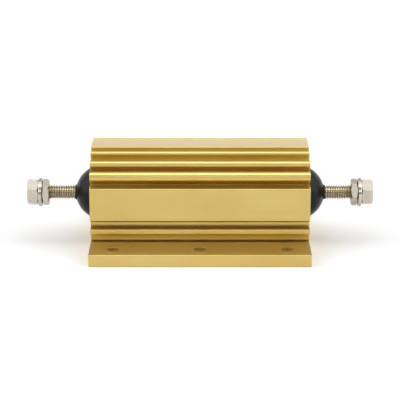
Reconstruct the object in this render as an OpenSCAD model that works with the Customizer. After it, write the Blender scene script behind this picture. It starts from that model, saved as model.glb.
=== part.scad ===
// Aluminium housed wirewound power resistor with two threaded terminals.
// +X runs along the terminals, +Z is up, and the origin is in the middle of the base.

/* [Housing] */
// Length of the sawn extrusion
body_l = 89; // [80:0.5:110]
// Width of the mounting flange
flange_w = 72; // [68:0.5:90]
// Thickness of the mounting flange
flange_t = 5; // [4:0.1:6]
// Height of the whole extrusion
body_h = 41.5; // [41:0.1:44]
// Height of the bore and terminal axis above the base
axis_h = 20.4; // [20:0.1:21]
// Diameter of the round barrel, at the floors of the grooves between the fins
barrel_d = 38.4; // [36:0.1:40]
// Diameter of the bore
bore_d = 21.2; // [18:0.1:26]
// Rounding of the long edges of the extrusion
edge_r = 0.3; // [0.2:0.05:0.6]

/* [Fins and pads] */
// Width across the two flat label faces
label_w = 44.6; // [42:0.1:48]
// Height of the lower edge of the label faces
label_bottom = 14.7; // [13:0.1:17]
// Height of the upper edge of the label faces
label_top = 28.3; // [26:0.1:29]
// Width of the flat pad on top
pad_w = 12.8; // [8:0.1:15]
// Angle of the thin fin beside the top pad
thin_fin_angle = 61.5; // [60:0.5:64]
// Radius from the bore axis to the tip of the thin fin
thin_fin_reach = 23.1; // [21:0.1:25]
// Thickness of the thin fin
thin_fin_t = 2; // [1:0.1:2.4]
// Angle of the middle fin
middle_fin_angle = 46.4; // [45:0.5:49]
// Radius from the bore axis to the tip of the middle fin
middle_fin_reach = 24.1; // [22:0.1:26]
// Thickness of the middle fin
middle_fin_t = 2.8; // [2:0.1:3.4]
// Angle of the thick fin above the label face
thick_fin_angle = 33.4; // [32:0.5:35]
// Radius from the bore axis to the tip of the thick fin
thick_fin_reach = 23.9; // [22:0.1:26]
// Thickness of the thick fin
thick_fin_t = 4; // [3:0.1:4.5]
// Width across the two skirt fins below the label faces
skirt_w = 43.2; // [40:0.1:46]
// Height of the upper side of the skirt fins
skirt_top = 10.9; // [10:0.1:11.5]
// Thickness of the skirt fins
skirt_t = 1.9; // [1.2:0.1:2.4]
// Width across the neck, below the skirt fins and across the rib above them
neck_w = 36.8; // [34:0.1:40]
// Height of the lower edge of the rib
rib_bottom = 11.8; // [11.6:0.1:12.4]
// Height of the upper edge of the rib
rib_top = 13.3; // [12.6:0.1:13.8]
// Width of the core block, at the floors of the slots and of the grooves above the label faces
block_w = 32.6; // [28:0.1:34]
// Height of the core block's shoulders, between the thick and the middle fins
block_top = 33.2; // [32:0.1:33.6]
// Height of the slot between the flange and the neck
foot_slot_h = 0.6; // [0.4:0.1:1.2]

/* [Mounting holes] */
// Diameter of the mounting holes
hole_d = 5.1; // [4:0.1:6]
// Number of holes along each side of the flange
hole_count = 3; // [2:1:4]
// Distance between neighbouring holes along the housing
hole_pitch_x = 35; // [20:0.5:36]
// Distance between the two rows of holes
hole_pitch_y = 57.2; // [54:0.1:60]

/* [Resistance element] */
// Diameter of the ceramic core
core_d = 13; // [10:0.1:14]
// Length of the ceramic core
core_l = 64; // [50:0.5:70]
// Depth of the chamfer round the core's ends
core_chamfer = 0.5; // [0.2:0.1:1]
// Diameter of the resistance wire
wire_d = 0.6; // [0.4:0.05:1]
// Distance between neighbouring turns of the wire
wire_pitch = 0.9; // [0.8:0.05:1.2]
// Wall thickness of the pressed end caps
cap_t = 0.8; // [0.5:0.1:1.2]
// Depth of the end caps over the core
cap_depth = 7; // [4:0.1:10]

/* [Moulding] */
// How far the moulded domes stand out of the housing
dome_h = 7.1; // [5:0.1:9]
// Radius of the collar that the dome forms round the stud
dome_collar_r = 3.9; // [3.6:0.1:5]

/* [Terminals] */
// Outer diameter of the stud thread
stud_d = 6; // [5:0.1:6.4]
// Length of the stud outside the housing
stud_l = 26.9; // [25:0.1:40]
// Depth of the chamfer at the stud's tip
stud_chamfer = 0.7; // [0.3:0.1:1]
// Diameter of the stud's weld head
head_d = 9.5; // [8:0.1:11]
// Thickness of the stud's weld head
head_t = 2; // [1:0.1:3]
// Distance from the housing's end to the inner nut
nut_offset = 17.95; // [12:0.05:20]
// Width of the nuts across their flats
nut_af = 9.8; // [9:0.1:12]
// Thickness of the inner nut
thin_nut_t = 2.9; // [2.4:0.1:4]
// Thickness of the outer nut
outer_nut_t = 4.7; // [4:0.1:6]
// Outer diameter of the washer
washer_d = 12; // [11:0.1:14]
// Thickness of the washer
washer_t = 1.5; // [1:0.1:2]
// Diameter of the washer's hole
washer_hole_d = 6.6; // [6.5:0.1:7]
// Angle at which the left outer nut is tightened
left_outer_turn = 26; // [0:1:59]
// Angle at which the right outer nut is tightened
right_outer_turn = 23; // [0:1:59]
// Angle at which the left inner nut is tightened
left_inner_turn = 33; // [0:1:59]
// Angle at which the right inner nut is tightened
right_inner_turn = 54; // [0:1:59]

/* [Fits] */
// Gap round the moulding and the pieces that it surrounds
mould_gap = 0.05; // [0.02:0.01:0.1]
// Gap between the core and the end caps
cap_gap = 0.05; // [0.02:0.01:0.1]
// Gap between the stud and the nuts' threads
thread_gap = 0.05; // [0.02:0.01:0.1]

/* [Hidden] */
$fn = 96;

gold = "#d9bf72";
nickel = "#cfcabb";
past = 1;                          // how far cutting tools run past a face

body_end = body_l / 2;
cap_d = core_d + 2 * (cap_gap + cap_t);
cap_face = core_l / 2 + cap_t;     // outer face of an end cap, from the middle
winding_l = core_l - 2 * cap_depth;
winding_d = core_d + 2 * wire_d;
turns = floor((winding_l - wire_d) / wire_pitch);
dome_base_r = bore_d / 2 - mould_gap;
dome_r = (dome_base_r * dome_base_r + dome_h * dome_h) / (2 * dome_h);
dome_centre = body_end + dome_h - dome_r;
collar_x = dome_centre + sqrt(dome_r * dome_r - dome_collar_r * dome_collar_r);
collar_r = dome_collar_r - stud_d / 2 - mould_gap;
inner_nut_x = body_end + nut_offset;
washer_x = inner_nut_x + thin_nut_t;
outer_nut_x = washer_x + washer_t;

// Lays a shape drawn along +Z on its side, so that it runs along +X at the height of the axis
module on_axis(x = 0) {
    translate([x, 0, axis_h]) rotate([90, 0, 90]) children();
}

// Turns the right-hand terminal's pieces round to the left-hand end
module at_end(side) {
    if (side == "left") mirror([1, 0, 0]) children();
    else children();
}

// Rectangle from the middle plane out to w / 2 on both sides, with rounded corners
module bar(w, bottom, top, r = edge_r) {
    translate([-w / 2, bottom + r]) square([w, top - bottom - 2 * r]);
    translate([-w / 2 + r, bottom]) square([w - 2 * r, top - bottom]);
    for (y = [-w / 2 + r, w / 2 - r], z = [bottom + r, top - r])
        translate([y, z]) circle(r);
}

// Fin with a round nose, pointing away from the bore axis
module fin(angle, reach, t) {
    nose = reach - t / 2;
    rotate(angle) {
        translate([0, -t / 2]) square([nose, t]);
        translate([nose, 0]) circle(t / 2);
    }
}

// Cross-section of the extrusion, without the bore
module housing_section() {
    bar(flange_w, 0, flange_t);
    translate([-block_w / 2, flange_t / 2]) square([block_w, block_top - flange_t / 2]);
    bar(skirt_w, skirt_top - skirt_t, skirt_top);
    bar(neck_w, flange_t + foot_slot_h, skirt_top, foot_slot_h / 4);
    bar(neck_w, rib_bottom, rib_top);
    bar(label_w, label_bottom, label_top);
    bar(pad_w, axis_h, body_h);
    translate([0, axis_h]) intersection() {
        circle(d = barrel_d);
        translate([-barrel_d / 2, barrel_d / 2 * sin(thick_fin_angle)]) square(barrel_d);
    }
    for (side = [0, 1]) mirror([side, 0]) {
        translate([0, axis_h]) {
            fin(thin_fin_angle, thin_fin_reach, thin_fin_t);
            fin(middle_fin_angle, middle_fin_reach, middle_fin_t);
            fin(thick_fin_angle, thick_fin_reach, thick_fin_t);
        }
    }
}

module housing() {
    first_hole = -(hole_count - 1) * hole_pitch_x / 2;
    color(gold) difference() {
        rotate([90, 0, 90]) linear_extrude(body_l, center = true) housing_section();
        on_axis() cylinder(d = bore_d, h = body_l + 2 * past, center = true);
        for (i = [0 : hole_count - 1], side = [-1, 1])
            translate([first_hole + i * hole_pitch_x, side * hole_pitch_y / 2, -past])
                cylinder(d = hole_d, h = flange_t + 2 * past);
    }
}

// Space taken inside the moulding by the element and its studs, with the gap round them
module element_space() {
    cap_l = cap_t + cap_depth;
    on_axis() {
        cylinder(d = winding_d + 2 * mould_gap, h = core_l, center = true);
        for (end = [0, 1]) mirror([0, 0, end]) {
            translate([0, 0, cap_face - cap_l - mould_gap])
                cylinder(d = cap_d + 2 * mould_gap, h = cap_l + 2 * mould_gap);
            translate([0, 0, cap_face])
                cylinder(d = head_d + 2 * mould_gap, h = head_t + mould_gap);
            translate([0, 0, cap_face])
                cylinder(d = stud_d + 2 * mould_gap, h = stud_l + body_l);
        }
    }
}

// Dome of the moulding, with the collar that climbs a little way up the stud
module dome() {
    on_axis() {
        intersection() {
            translate([0, 0, dome_centre]) sphere(dome_r);
            translate([0, 0, body_end - past]) cylinder(r = dome_base_r, h = dome_h + past);
        }
        rotate_extrude() difference() {
            translate([0, collar_x - past]) square([dome_collar_r, past + collar_r]);
            translate([dome_collar_r, collar_x + collar_r]) circle(collar_r);
        }
    }
}

module moulding() {
    color("#222222") difference() {
        union() {
            on_axis() cylinder(r = dome_base_r, h = body_l, center = true);
            for (side = ["left", "right"]) at_end(side) dome();
        }
        element_space();
    }
}

module ceramic_core() {
    r = core_d / 2;
    color("#efece2") on_axis() rotate_extrude() polygon([
        [0, -core_l / 2], [r - core_chamfer, -core_l / 2], [r, -core_l / 2 + core_chamfer],
        [r, core_l / 2 - core_chamfer], [r - core_chamfer, core_l / 2], [0, core_l / 2]]);
}

// One close layer of wire: the turns stand on a thin layer that joins them into one solid
module winding() {
    r = core_d / 2 + wire_d / 2;
    color("#b08d6a") on_axis() rotate_extrude() {
        translate([core_d / 2, -winding_l / 2]) square([wire_d / 2, winding_l]);
        for (i = [0 : turns]) translate([r, (i - turns / 2) * wire_pitch]) circle(wire_d / 2, $fn = 8);
    }
}

module end_cap(side) {
    color("#c9c9c4") at_end(side) on_axis() difference() {
        translate([0, 0, cap_face - cap_t - cap_depth]) cylinder(d = cap_d, h = cap_t + cap_depth);
        translate([0, 0, core_l / 2 - cap_depth - past])
            cylinder(d = core_d + 2 * cap_gap, h = cap_depth + past);
    }
}

// Terminal stud, drawn at its thread's full diameter, with the head that is welded to the cap
module stud(side) {
    r = stud_d / 2;
    tip = body_end + stud_l;
    color(nickel) at_end(side) on_axis() rotate_extrude() polygon([
        [0, cap_face], [head_d / 2, cap_face], [head_d / 2, cap_face + head_t], [r, cap_face + head_t],
        [r, tip - stud_chamfer], [r - stud_chamfer, tip], [0, tip]]);
}

// Hexagon nut with its corners turned off at 30 degrees on both faces
module nut(t, turn) {
    corner_r = nut_af / sqrt(3);
    face_r = nut_af * 0.475;
    mouth = 0.35;                      // chamfer of the threaded hole
    hole_r = stud_d / 2 + thread_gap;
    clear_r = corner_r + mouth;        // the cones run on past the corners
    drop = (clear_r - face_r) * tan(30);
    intersection() {
        rotate(-turn) cylinder(r = corner_r, h = t, $fn = 6);
        rotate_extrude() polygon([
            [hole_r + mouth, 0], [face_r, 0], [clear_r, drop], [clear_r, t - drop],
            [face_r, t], [hole_r + mouth, t], [hole_r, t - mouth], [hole_r, mouth]]);
    }
}

module thin_nut(side) {
    turn = side == "left" ? left_inner_turn : right_inner_turn;
    color(nickel) at_end(side) on_axis(inner_nut_x) nut(thin_nut_t, turn);
}

module outer_nut(side) {
    turn = side == "left" ? left_outer_turn : right_outer_turn;
    color(nickel) at_end(side) on_axis(outer_nut_x) nut(outer_nut_t, turn);
}

// Plain stamped washer, with its rim broken on both faces
module washer(side) {
    rim = washer_t / 6;
    r = washer_d / 2;
    hole_r = washer_hole_d / 2;
    color(nickel) at_end(side) on_axis(washer_x) rotate_extrude() polygon([
        [hole_r, 0], [r - rim, 0], [r, rim], [r, washer_t - rim], [r - rim, washer_t],
        [hole_r, washer_t]]);
}

housing();
moulding();
ceramic_core();
winding();
end_cap("left");  // end_cap_left
end_cap("right");  // end_cap_right
stud("left");  // stud_left
stud("right");  // stud_right
thin_nut("left");  // thin_nut_left
thin_nut("right");  // thin_nut_right
washer("left");  // washer_left
washer("right");  // washer_right
outer_nut("left");  // outer_nut_left
outer_nut("right");  // outer_nut_right
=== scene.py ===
import math
import bmesh
import bpy
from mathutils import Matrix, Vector


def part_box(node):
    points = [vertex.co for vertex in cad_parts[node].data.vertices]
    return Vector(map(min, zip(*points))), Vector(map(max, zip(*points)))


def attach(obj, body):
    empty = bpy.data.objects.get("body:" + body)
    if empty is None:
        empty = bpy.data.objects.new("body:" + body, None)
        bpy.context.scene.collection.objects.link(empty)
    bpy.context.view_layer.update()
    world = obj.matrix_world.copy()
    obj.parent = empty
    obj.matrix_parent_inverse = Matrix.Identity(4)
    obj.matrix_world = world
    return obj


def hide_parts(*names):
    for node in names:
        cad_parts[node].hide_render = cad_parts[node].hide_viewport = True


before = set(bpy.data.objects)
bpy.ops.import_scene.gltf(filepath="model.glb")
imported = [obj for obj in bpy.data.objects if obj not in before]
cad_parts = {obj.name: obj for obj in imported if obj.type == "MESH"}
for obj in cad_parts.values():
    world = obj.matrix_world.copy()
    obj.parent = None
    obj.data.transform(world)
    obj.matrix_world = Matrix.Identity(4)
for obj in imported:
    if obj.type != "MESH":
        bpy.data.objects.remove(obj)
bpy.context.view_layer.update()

mm = 0.001


def hexColour(code):
    channels = [int(code[i:i + 2], 16) / 255 for i in (1, 3, 5)]
    linear = [c / 12.92 if c <= 0.04045 else ((c + 0.055) / 1.055) ** 2.4 for c in channels]
    return (*linear, 1.0)


def addNode(tree, kind, inputs=(), **settings):
    # an input is a value, a socket to link, or a node whose first output is linked
    node = tree.nodes.new(kind)
    for name, value in settings.items():
        setattr(node, name, value)
    for socket, value in inputs.items() if isinstance(inputs, dict) else enumerate(inputs):
        if isinstance(value, bpy.types.Node):
            value = value.outputs[0]
        if isinstance(value, bpy.types.NodeSocket):
            tree.links.new(value, node.inputs[socket])
        else:
            node.inputs[socket].default_value = value
    return node


def addObject(name, data):
    thing = bpy.data.objects.new(name, data)
    bpy.context.scene.collection.objects.link(thing)
    return thing


def addMaterial(name):
    material = bpy.data.materials.new(name)
    material.use_nodes = True
    material.node_tree.nodes.clear()
    return material


def surfaceGrain(tree, sizes, detail):
    # noise whose grains measure sizes (x, y, z) in metres
    place = addNode(tree, "ShaderNodeTexCoord").outputs["Object"]
    stretched = addNode(tree, "ShaderNodeMapping", {"Vector": place, "Scale": [1 / s for s in sizes]})
    return addNode(tree, "ShaderNodeTexNoise", {"Vector": stretched, "Scale": 1.0, "Detail": detail})


usualNoise = (0.3, 0.7)    # nearly all of a noise lies between these


def twoTone(tree, grain, light, dark):
    # goes from the light colour to the dark one as the grain rises
    share = addNode(tree, "ShaderNodeMapRange", [grain, *usualNoise, 0, 1])
    colours = {0: share, 6: hexColour(light), 7: hexColour(dark)}
    return addNode(tree, "ShaderNodeMix", colours, data_type="RGBA").outputs[2]


# Anodised aluminium: a clear oxide layer, dyed gold, over etched metal. It shines through the
# layer with the satin of the etch, and the die has left faint lines along the extrusion.
goldFinish = {
    "layer": "#d2bb72",              # gold seen face on
    "deepLayer": "#ccb065",          # where the dye took a little more
    "dieTint": (0, 0.25),            # how far the die lines go to that colour
    "metallic": 0.9,                 # the rest is light that the oxide scatters
    "dieRoughness": (0.3, 0.37),
    "etchRoughness": (0, 0.04),      # added to the lines' own
    "sawnRoughness": 0.08,           # added on the cut ends
    "clearLayer": 0.3,
    "clearRoughness": 0.2,
    "dieLine": 0.5 * mm,             # spacing across the die lines, coarser than the real 0.1 mm to show
    "dieRun": 60 * mm,
    "dieDepth": 0.02 * mm,
    "dieStrength": 0.25,
    "etchGrain": 0.35 * mm,
    "etchDepth": 0.01 * mm,
    "etchStrength": 0.2,
    "dyePatch": 14 * mm,
    "sawStep": 0.88 * mm,            # feed marks of the saw on the cut ends
    "sawWander": 1.5,
    "endFacing": 0.8,                # share of a cut end's normal that lies along the extrusion
}


def anodisedAluminium():
    material = addMaterial("anodisedAluminium")
    tree = material.node_tree
    finish = goldFinish
    place = addNode(tree, "ShaderNodeTexCoord").outputs
    dieLines = surfaceGrain(tree, (finish["dieRun"], finish["dieLine"], finish["dieLine"]), detail=2)
    etch = surfaceGrain(tree, [finish["etchGrain"]] * 3, detail=2)
    patches = surfaceGrain(tree, (finish["dyePatch"] * 2, finish["dyePatch"], finish["dyePatch"]), detail=3)

    dyed = twoTone(tree, patches, finish["layer"], finish["deepLayer"])
    dieShare = addNode(tree, "ShaderNodeMapRange", [dieLines, *usualNoise, *finish["dieTint"]])
    colours = {0: dieShare, 6: dyed, 7: hexColour(finish["deepLayer"])}
    tone = addNode(tree, "ShaderNodeMix", colours, data_type="RGBA")

    normal = addNode(tree, "ShaderNodeSeparateXYZ", [place["Normal"]])
    along = addNode(tree, "ShaderNodeMath", [normal], operation="ABSOLUTE")
    cutEnd = addNode(tree, "ShaderNodeMath", [along, finish["endFacing"]], operation="GREATER_THAN")
    drawn = addNode(tree, "ShaderNodeMapRange", [dieLines, *usualNoise, *finish["dieRoughness"]])
    etched = addNode(tree, "ShaderNodeMapRange", [etch, *usualNoise, *finish["etchRoughness"]])
    satin = addNode(tree, "ShaderNodeMath", [drawn, etched], operation="ADD")
    rough = addNode(tree, "ShaderNodeMath", [cutEnd, finish["sawnRoughness"], satin],
                    operation="MULTIPLY_ADD")

    oneBand = math.pi / 10    # the scale at which a wave has one band for each unit
    saw = addNode(tree, "ShaderNodeTexWave", {
        "Vector": place["Object"], "Scale": oneBand / finish["sawStep"],
        "Distortion": finish["sawWander"]}, bands_direction="Z")
    marks = addNode(tree, "ShaderNodeMix", {0: cutEnd, 2: dieLines, 3: saw.outputs[1]})
    lines = addNode(tree, "ShaderNodeBump", {"Height": marks, "Strength": finish["dieStrength"],
                                             "Distance": finish["dieDepth"]})
    grain = addNode(tree, "ShaderNodeBump", {"Height": etch, "Strength": finish["etchStrength"],
                                             "Distance": finish["etchDepth"], "Normal": lines})
    surface = addNode(tree, "ShaderNodeBsdfPrincipled", {
        "Base Color": tone.outputs[2], "Metallic": finish["metallic"], "Roughness": rough, "Normal": grain,
        "Coat Weight": finish["clearLayer"], "Coat Roughness": finish["clearRoughness"]})
    addNode(tree, "ShaderNodeOutputMaterial", [surface])
    return material


# Silicone moulding: black, filled and cured in a polished tool, so it is satin and a little cloudy.
siliconeFinish = {
    "body": "#100f0e",
    "cloud": "#171614",
    "cloudSize": 4 * mm,
    "roughness": (0.24, 0.34),
    "ior": 1.41,
    "shine": 0.2,
    "toolGrain": 0.3 * mm,
    "toolDepth": 0.02 * mm,
    "toolStrength": 0.2,
}


def siliconeMoulding():
    material = addMaterial("siliconeMoulding")
    tree = material.node_tree
    finish = siliconeFinish
    clouds = surfaceGrain(tree, [finish["cloudSize"]] * 3, detail=4)
    grain = surfaceGrain(tree, [finish["toolGrain"]] * 3, detail=2)
    tone = twoTone(tree, clouds, finish["body"], finish["cloud"])
    rough = addNode(tree, "ShaderNodeMapRange", [clouds, *usualNoise, *finish["roughness"]])
    bump = addNode(tree, "ShaderNodeBump", {"Height": grain, "Strength": finish["toolStrength"],
                                            "Distance": finish["toolDepth"]})
    surface = addNode(tree, "ShaderNodeBsdfPrincipled", {
        "Base Color": tone, "Roughness": rough, "Normal": bump, "IOR": finish["ior"],
        "Specular IOR Level": finish["shine"]})
    addNode(tree, "ShaderNodeOutputMaterial", [surface])
    return material


# Nickel plate on turned steel: a warm grey metal that keeps the marks of the steel below. The pressed
# stainless caps are cooler and duller, and the drawn copper nickel wire is browner.
metalFinishes = {
    "nickelPlatedNut": {"light": "#c6bfb2", "dark": "#b8b1a5", "roughness": (0.2, 0.3)},
    "nickelPlatedStud": {"light": "#beb49e", "dark": "#aaa08a", "roughness": (0.22, 0.32)},
    "nickelPlatedWasher": {"light": "#cbc6ba", "dark": "#bbb6aa", "roughness": (0.16, 0.26)},
    "pressedStainlessSteel": {"light": "#b9b8b4", "dark": "#a9a8a4", "roughness": (0.25, 0.35)},
    "copperNickelWire": {"light": "#b3977c", "dark": "#9c8168", "roughness": (0.3, 0.4)},
}
metalMarks = {
    "handling": 2.5 * mm,    # size of the patches that handling leaves
    "turning": 0.12 * mm,    # spacing of the marks along the axis
    "turningRun": 3 * mm,
    "turningDepth": 0.01 * mm,
    "turningStrength": 0.15,
}


def turnedMetal(name):
    material = addMaterial(name)
    tree = material.node_tree
    finish = metalFinishes[name]
    marks = metalMarks
    handling = surfaceGrain(tree, [marks["handling"]] * 3, detail=4)
    turning = surfaceGrain(tree, (marks["turning"], marks["turningRun"], marks["turningRun"]), detail=2)
    tone = twoTone(tree, handling, finish["light"], finish["dark"])
    rough = addNode(tree, "ShaderNodeMapRange", [handling, *usualNoise, *finish["roughness"]])
    bump = addNode(tree, "ShaderNodeBump", {"Height": turning, "Strength": marks["turningStrength"],
                                            "Distance": marks["turningDepth"]})
    surface = addNode(tree, "ShaderNodeBsdfPrincipled", {
        "Base Color": tone, "Metallic": 1.0, "Roughness": rough, "Normal": bump})
    addNode(tree, "ShaderNodeOutputMaterial", [surface])
    return material


# Steatite: a fired, unglazed ceramic, off-white and matt with fine specks.
steatiteFinish = {
    "body": "#efece2",
    "speck": "#e2ddcf",
    "speckSize": 0.4 * mm,
    "speckDepth": 0.02 * mm,
    "speckStrength": 0.3,
    "roughness": 0.7,
}


def firedSteatite():
    material = addMaterial("steatite")
    tree = material.node_tree
    finish = steatiteFinish
    specks = surfaceGrain(tree, [finish["speckSize"]] * 3, detail=5)
    tone = twoTone(tree, specks, finish["body"], finish["speck"])
    bump = addNode(tree, "ShaderNodeBump", {"Height": specks, "Strength": finish["speckStrength"],
                                            "Distance": finish["speckDepth"]})
    surface = addNode(tree, "ShaderNodeBsdfPrincipled", {
        "Base Color": tone, "Roughness": finish["roughness"], "Normal": bump})
    addNode(tree, "ShaderNodeOutputMaterial", [surface])
    return material


gold = anodisedAluminium()
silicone = siliconeMoulding()
nutNickel = turnedMetal("nickelPlatedNut")
studNickel = turnedMetal("nickelPlatedStud")
washerNickel = turnedMetal("nickelPlatedWasher")
capSteel = turnedMetal("pressedStainlessSteel")
wireAlloy = turnedMetal("copperNickelWire")
ceramic = firedSteatite()
print("stage: materials")


def smoothBelow(mesh, sharpAngle):
    mesh.polygons.foreach_set("use_smooth", [True] * len(mesh.polygons))
    mesh.set_sharp_from_angle(angle=math.radians(sharpAngle))


weldWithin = 0.001 * mm
flatWithin = math.radians(0.3)    # neighbouring triangles closer than this make one face


# A copy of a CAD piece whose sharp edges are broken, as deburring and tumbling leave them
def deburred(nodeName, pieceName, material, edges):
    shape = bmesh.new()
    shape.from_mesh(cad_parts[nodeName].data)
    bmesh.ops.remove_doubles(shape, verts=shape.verts, dist=weldWithin)
    bmesh.ops.dissolve_limit(shape, angle_limit=flatWithin, verts=shape.verts, edges=shape.edges)
    sharpOver = math.radians(edges["sharpOver"])
    sharp = [edge for edge in shape.edges if edge.calc_face_angle(0.0) > sharpOver and edge.is_convex]
    bmesh.ops.bevel(shape, geom=sharp, offset=edges["break"], segments=edges["segments"], profile=0.5,
                    affect="EDGES", clamp_overlap=True)
    bmesh.ops.remove_doubles(shape, verts=shape.verts, dist=weldWithin)
    mesh = bpy.data.meshes.new(pieceName)
    shape.to_mesh(mesh)
    shape.free()
    smoothBelow(mesh, edges["smoothBelow"])
    mesh.materials.append(material)
    piece = addObject(pieceName, mesh)
    weighted = piece.modifiers.new("flatFaces", "WEIGHTED_NORMAL")
    weighted.keep_sharp = True
    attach(piece, "root")
    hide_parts(nodeName)


housingEdges = {"sharpOver": 60, "break": 0.22 * mm, "segments": 2, "smoothBelow": 45}
deburred("housing", "anodisedHousing", gold, housingEdges)
print("stage: housing")

nutEdges = {"sharpOver": 24, "break": 0.1 * mm, "segments": 2, "smoothBelow": 40}
washerEdges = {"sharpOver": 30, "break": 0.08 * mm, "segments": 2, "smoothBelow": 40}
for nodeName, pieceName, material, edges in (("thin_nut_", "innerNut", nutNickel, nutEdges),
                                             ("outer_nut_", "outerNut", nutNickel, nutEdges),
                                             ("washer_", "washer", washerNickel, washerEdges)):
    for side in ("left", "right"):
        deburred(nodeName + side, pieceName + side.title(), material, edges)
print("stage: nuts and washers")

# Rolled M6 thread, drawn as a grid whose rows follow the helix. Its crests are a little wider than
# the standard's.
threadSettings = {
    "Pitch": 1.0 * mm,
    "Major Radius": 2.92 * mm,
    "Thread Depth": 0.6 * mm,
    "Crest Half Width": 0.1,     # in pitches
    "Flank Width": 0.32,         # in pitches
    "Tip Radius": 2.2 * mm,
    "Weld Distance": 0.002 * mm,
    "Rows Per Turn": 8,
    "Sides": 64,
}
spareTurns = 3    # the grid runs past both ends of the stud and closes them


def threadTree():
    tree = bpy.data.node_groups.new("rolledThread", "GeometryNodeTree")
    tree.interface.new_socket("Geometry", in_out="OUTPUT", socket_type="NodeSocketGeometry")
    places = ("Start", "Length", "Axis Height", "Turn", "Head Radius", "Head Start", "Head Length")
    for name in (*places, *threadSettings):
        kind = "NodeSocketInt" if name in ("Rows Per Turn", "Sides") else "NodeSocketFloat"
        tree.interface.new_socket(name, in_out="INPUT", socket_type=kind)
    tree.interface.new_socket("Material", in_out="INPUT", socket_type="NodeSocketMaterial")
    given = addNode(tree, "NodeGroupInput").outputs

    # the flat grid: x goes once round the stud, y counts the turns
    exactPitches = addNode(tree, "ShaderNodeMath", [given["Length"], given["Pitch"]], operation="DIVIDE")
    wholePitches = addNode(tree, "ShaderNodeMath", [exactPitches], operation="CEIL")
    pitches = addNode(tree, "ShaderNodeMath", [wholePitches, spareTurns], operation="ADD")
    rows = addNode(tree, "ShaderNodeMath", [pitches, given["Rows Per Turn"], 1], operation="MULTIPLY_ADD")
    columns = addNode(tree, "ShaderNodeMath", [given["Sides"], 1], operation="ADD")
    grid = addNode(tree, "GeometryNodeMeshGrid", [1, 1, columns, rows])
    spot = addNode(tree, "ShaderNodeSeparateXYZ", [addNode(tree, "GeometryNodeInputPosition")]).outputs
    around = addNode(tree, "ShaderNodeMath", [spot[0], 0.5], operation="ADD")
    turnShare = addNode(tree, "ShaderNodeMath", [spot[1], 0.5], operation="ADD")
    turns = addNode(tree, "ShaderNodeMath", [turnShare, pitches], operation="MULTIPLY")

    # how far along the stud a point lies: one pitch less for each turn round the helix
    turnsLeft = addNode(tree, "ShaderNodeMath", [turns, around], operation="SUBTRACT")
    turnsAlong = addNode(tree, "ShaderNodeMath", [turnsLeft, 1], operation="SUBTRACT")
    freeRun = addNode(tree, "ShaderNodeMath", [turnsAlong, given["Pitch"]], operation="MULTIPLY")
    run = addNode(tree, "ShaderNodeClamp", [freeRun, 0, given["Length"]])

    # how far from the axis: crest, flank and root, less at the chamfered ends, and 0 beyond them
    fromMiddle = addNode(tree, "ShaderNodeMath", [turns, given["Crest Half Width"]], operation="SUBTRACT")
    fromCrest = addNode(tree, "ShaderNodeMath", [fromMiddle, 0.5], operation="PINGPONG")
    flankEnd = addNode(tree, "ShaderNodeMath", [given["Crest Half Width"], given["Flank Width"]],
                       operation="ADD")
    rootRadius = addNode(tree, "ShaderNodeMath", [given["Major Radius"], given["Thread Depth"]],
                         operation="SUBTRACT")
    profile = addNode(tree, "ShaderNodeMapRange", [fromCrest, given["Crest Half Width"], flankEnd,
                                                   given["Major Radius"], rootRadius])
    runLeft = addNode(tree, "ShaderNodeMath", [given["Length"], run], operation="SUBTRACT")
    toEnd = addNode(tree, "ShaderNodeMath", [run, runLeft], operation="MINIMUM")
    chamfer = addNode(tree, "ShaderNodeMath", [given["Tip Radius"], toEnd], operation="ADD")
    ridge = addNode(tree, "ShaderNodeMath", [profile, chamfer], operation="MINIMUM")
    overrun = addNode(tree, "ShaderNodeMath", [run, freeRun], operation="SUBTRACT")
    beyond = addNode(tree, "ShaderNodeMath", [overrun], operation="ABSOLUTE")
    halfPitch = addNode(tree, "ShaderNodeMath", [given["Pitch"], 0.5], operation="MULTIPLY")
    onStud = addNode(tree, "ShaderNodeMath", [beyond, halfPitch], operation="LESS_THAN")
    radius = addNode(tree, "ShaderNodeMath", [ridge, onStud], operation="MULTIPLY")

    angle = addNode(tree, "ShaderNodeMath", [around, 2 * math.pi], operation="MULTIPLY")
    cosine = addNode(tree, "ShaderNodeMath", [angle], operation="COSINE")
    sine = addNode(tree, "ShaderNodeMath", [angle], operation="SINE")
    wrapped = addNode(tree, "ShaderNodeCombineXYZ", [
        addNode(tree, "ShaderNodeMath", [given["Start"], run], operation="ADD"),
        addNode(tree, "ShaderNodeMath", [radius, cosine], operation="MULTIPLY"),
        addNode(tree, "ShaderNodeMath", [radius, sine], operation="MULTIPLY")])
    threaded = addNode(tree, "GeometryNodeSetPosition", {"Geometry": grid, "Position": wrapped})
    welded = addNode(tree, "GeometryNodeMergeByDistance",
                     {"Geometry": threaded, "Distance": given["Weld Distance"]})

    # the round head that is welded to the end cap
    head = addNode(tree, "GeometryNodeMeshCylinder", {
        "Vertices": given["Sides"], "Radius": given["Head Radius"], "Depth": given["Head Length"]})
    headMiddle = addNode(tree, "ShaderNodeMath", [given["Head Length"], 0.5, given["Head Start"]],
                         operation="MULTIPLY_ADD")
    laidHead = addNode(tree, "GeometryNodeTransform", {
        "Geometry": head, "Rotation": (0, math.pi / 2, 0),
        "Translation": addNode(tree, "ShaderNodeCombineXYZ", [headMiddle])})
    joined = addNode(tree, "GeometryNodeJoinGeometry", [welded])
    tree.links.new(laidHead.outputs[0], joined.inputs[0])
    placed = addNode(tree, "GeometryNodeTransform", {
        "Geometry": joined,
        "Rotation": addNode(tree, "ShaderNodeCombineXYZ", {2: given["Turn"]}),
        "Translation": addNode(tree, "ShaderNodeCombineXYZ", {2: given["Axis Height"]})})
    real = addNode(tree, "GeometryNodeRealizeInstances", [placed])
    plated = addNode(tree, "GeometryNodeSetMaterial", {"Geometry": real, "Material": given["Material"]})
    addNode(tree, "NodeGroupOutput", [plated])
    return tree


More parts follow.
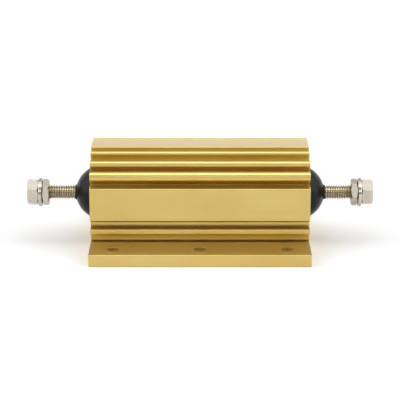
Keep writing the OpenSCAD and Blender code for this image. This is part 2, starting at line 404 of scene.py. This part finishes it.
def grownPiece(name, tree, values):
    # runs a geometry tree once and keeps its plain mesh
    holder = addObject(name + "Holder", bpy.data.meshes.new(name + "Holder"))
    modifier = holder.modifiers.new("grow", "NODES")
    modifier.node_group = tree
    for item in tree.interface.items_tree:
        if item.in_out == "INPUT":
            modifier[item.identifier] = values[item.name]
    grown = holder.evaluated_get(bpy.context.evaluated_depsgraph_get())
    mesh = bpy.data.meshes.new_from_object(grown)
    mesh.name = name
    bpy.data.objects.remove(holder)
    return addObject(name, mesh)


studSettings = {"headLength": 2 * mm, "smoothBelow": 50}

thread = threadTree()
for side, turn in (("left", math.pi), ("right", 0.0)):
    low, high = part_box("stud_" + side)
    inner, outer = sorted((abs(low.x), abs(high.x)))
    headLength = studSettings["headLength"]
    stud = grownPiece("threadedStud" + side.title(), thread, {
        **threadSettings, "Start": inner + headLength, "Length": outer - inner - headLength,
        "Axis Height": (low.z + high.z) / 2, "Turn": turn, "Head Radius": (high.z - low.z) / 2,
        "Head Start": inner, "Head Length": headLength, "Material": studNickel})
    smoothBelow(stud.data, studSettings["smoothBelow"])
    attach(stud, "root")
    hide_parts("stud_" + side)
print("stage: threaded studs")

# Every solid of the part wears its finish, also those that a finer piece stands for
finishes = {
    "housing": gold, "moulding": silicone, "ceramic_core": ceramic, "winding": wireAlloy,
    "end_cap": capSteel, "stud": studNickel, "thin_nut": nutNickel, "outer_nut": nutNickel,
    "washer": washerNickel,
}
for nodeName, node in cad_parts.items():
    node.data.materials.clear()
    node.data.materials.append(finishes[nodeName.removesuffix("_left").removesuffix("_right")])
print("stage: finishes")

# Painted floor: flat paint, nearly white, which spreads the light without shine
floorSettings = {"side": 12.0, "drop": 0.02 * mm, "colour": "#f6f7f9", "roughness": 0.9, "shine": 0.1}


def paintedFloor():
    half, height = floorSettings["side"] / 2, -floorSettings["drop"]
    corners = [(-half, -half, height), (half, -half, height), (half, half, height), (-half, half, height)]
    mesh = bpy.data.meshes.new("floor")
    mesh.from_pydata(corners, [], [(0, 1, 2, 3)])
    material = addMaterial("paintedFloor")
    paint = addNode(material.node_tree, "ShaderNodeBsdfPrincipled", {
        "Base Color": hexColour(floorSettings["colour"]), "Roughness": floorSettings["roughness"],
        "Specular IOR Level": floorSettings["shine"]})
    addNode(material.node_tree, "ShaderNodeOutputMaterial", [paint])
    mesh.materials.append(material)
    floor = addObject("floor", mesh)


# White light tent. Each panel goes from one angle to another, counted from the horizon in front (0),
# over the top (90), to the horizon behind (180), and has its brightness. Between two panels the
# light runs from one to the other.
tentSettings = {
    "middle": {
        "cameraGap": (0, 16, 0.0),       # the camera looks in here
        "frontCard": (18, 27, 2.5),
        "darkCloth": (34, 52, 0.25),
        "frontRoof": (60, 80, 0.8),
        "roof": (90, 104, 1.5),
        "rearRoof": (114, 152, 0.6),
        "rearSweep": (160, 180, 1.3),
    },
    "sides": {
        "lowWall": (0, 15, 0.8),
        "sideCard": (25, 40, 3.0),
        "sideRoof": (50, 105, 2.6),
        "rearCorner": (130, 180, 1.0),
    },
    "sidesFrom": 0.55,      # share of a direction along the axis at which the sides begin
    "sidesFull": 0.65,
}


def panelRamp(tree, angle, panels):
    brightest = max(brightness for start, end, brightness in panels.values())
    halfTurns = addNode(tree, "ShaderNodeMath", [angle, math.pi], operation="DIVIDE")
    ramp = addNode(tree, "ShaderNodeValToRGB", [halfTurns])
    stops = ramp.color_ramp.elements
    stops.remove(stops[1])
    for start, end, brightness in panels.values():
        for edge in (start, end):
            stop = stops.new(edge / 180) if edge > 0 else stops[0]
            stop.color = (*[brightness / brightest] * 3, 1.0)
    return addNode(tree, "ShaderNodeMath", [ramp, brightest], operation="MULTIPLY")


def lightTent():
    world = bpy.data.worlds.new("lightTent")
    world.use_nodes = True
    tree = world.node_tree
    tree.nodes.clear()
    towards = addNode(tree, "ShaderNodeTexCoord").outputs["Generated"]
    part = addNode(tree, "ShaderNodeSeparateXYZ", [towards]).outputs
    forward = addNode(tree, "ShaderNodeMath", [part[1], -1], operation="MULTIPLY")
    angle = addNode(tree, "ShaderNodeMath", [part[2], forward], operation="ARCTAN2")
    sideways = addNode(tree, "ShaderNodeMath", [part[0]], operation="ABSOLUTE")
    sideShare = addNode(tree, "ShaderNodeMapRange",
                        [sideways, tentSettings["sidesFrom"], tentSettings["sidesFull"]])
    middle = panelRamp(tree, angle, tentSettings["middle"])
    sides = panelRamp(tree, angle, tentSettings["sides"])
    strength = addNode(tree, "ShaderNodeMix", {0: sideShare, 2: middle, 3: sides})
    background = addNode(tree, "ShaderNodeBackground", [(1, 1, 1, 1), strength])
    addNode(tree, "ShaderNodeOutputWorld", [background])
    bpy.context.scene.world = world


# Strip softbox over the front edge, which draws the bright lines along the fins
softboxSettings = {"angle": 69, "distance": 1.2, "length": 1.92, "width": 0.21, "watts": 9.4}


def stripSoftbox():
    light = bpy.data.lights.new("stripSoftbox", "AREA")
    light.shape = "RECTANGLE"
    light.size = softboxSettings["length"]
    light.size_y = softboxSettings["width"]
    light.energy = softboxSettings["watts"]
    lamp = addObject("stripSoftbox", light)
    rise = math.radians(softboxSettings["angle"])
    towards = Vector((0, -math.cos(rise), math.sin(rise)))
    lamp.location = towards * softboxSettings["distance"]
    lamp.rotation_euler = towards.to_track_quat("Z", "Y").to_euler()
    lamp.visible_diffuse = False    # it is there for the reflections; the tent lights the floor


cameraSettings = {
    "distance": 676.6 * mm,
    "elevation": 17.08,
    "targetHeight": 16.91 * mm,
    "lens": 146.2,
    "sensorWidth": 36,
    "nearest": 10 * mm,
}


def benchCamera():
    cameraData = bpy.data.cameras.new("camera")
    cameraData.lens = cameraSettings["lens"]
    cameraData.sensor_width = cameraSettings["sensorWidth"]
    cameraData.clip_start = cameraSettings["nearest"]
    camera = addObject("camera", cameraData)
    tilt = math.radians(cameraSettings["elevation"])
    distance = cameraSettings["distance"]
    camera.location = (0, -distance * math.cos(tilt),
                       cameraSettings["targetHeight"] + distance * math.sin(tilt))
    camera.rotation_euler = (math.pi / 2 - tilt, 0, 0)
    bpy.context.scene.camera = camera


paintedFloor()
lightTent()
stripSoftbox()
benchCamera()
bpy.context.scene.view_settings.view_transform = "Standard"
print("stage: studio")
